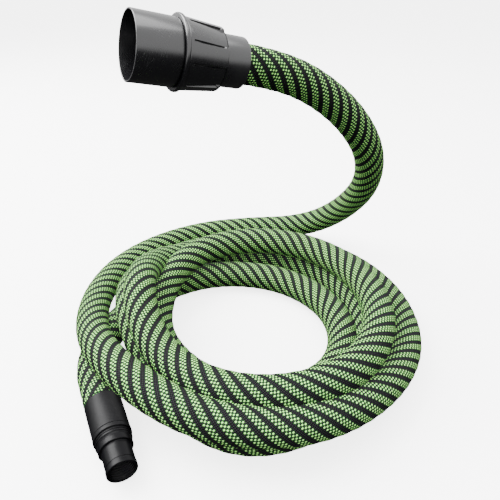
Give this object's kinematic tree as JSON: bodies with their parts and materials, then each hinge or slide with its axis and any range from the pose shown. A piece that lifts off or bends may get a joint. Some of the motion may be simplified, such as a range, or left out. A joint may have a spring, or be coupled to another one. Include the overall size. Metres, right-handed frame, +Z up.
{
  "type": "dust extraction hose",
  "caption": "Coiled suction hose in a woven green and black sleeve, with a large swivelling extractor connector at one end and a small rubber tool cuff at the other.",
  "frame": {"origin": "on the floor that the coil lies on, under the middle of the box round the two end fittings", "axes": "+Z up; +Y away from the tool cuff, across the coil; the extractor connector points towards -X"},
  "size_m": [0.3983, 0.4338, 0.3431],
  "materials": {
    "woven_sleeve": "woven",
    "black_moulding": "satin",
    "grey_moulding": "matte",
    "cuff_rubber": "matte",
    "seal_rubber": "matte",
    "band_metal": "satin",
    "spring_metal": "brushed"
  },
  "bodies": {
    "hose": {"hose_rise": "woven_sleeve", "hose_coil": "woven_sleeve", "hose_tail": "woven_sleeve", "swivel_sleeve": "black_moulding", "extractor_hose_nipple": "grey_moulding", "extractor_hose_band": "band_metal", "extractor_retaining_ring": "spring_metal", "cuff_shell": "cuff_rubber", "cuff_insert": "grey_moulding", "cuff_retaining_ring": "spring_metal"},
    "extractor_connector": {"grip_collar": "black_moulding", "stop_ring": "black_moulding", "extractor_spigot": "black_moulding", "slide_washer": "grey_moulding", "connector_seal": "seal_rubber"},
    "tool_nozzle": {"cuff_nozzle": "cuff_rubber", "cuff_seal": "seal_rubber"}
  },
  "joints": [
    {"name": "connector_swivel", "type": "hinge", "parent": "hose", "child": "extractor_connector", "pos_m": [0.066, 0.0951, 0.297], "axis": [-0.8666, -0.4547, 0.2055], "continuous": true},
    {"name": "cuff_swivel", "type": "hinge", "parent": "hose", "child": "tool_nozzle", "pos_m": [-0.0664, -0.0358, 0.0172], "axis": [0.4586, -0.8886, -0.0022], "continuous": true}
  ]
}
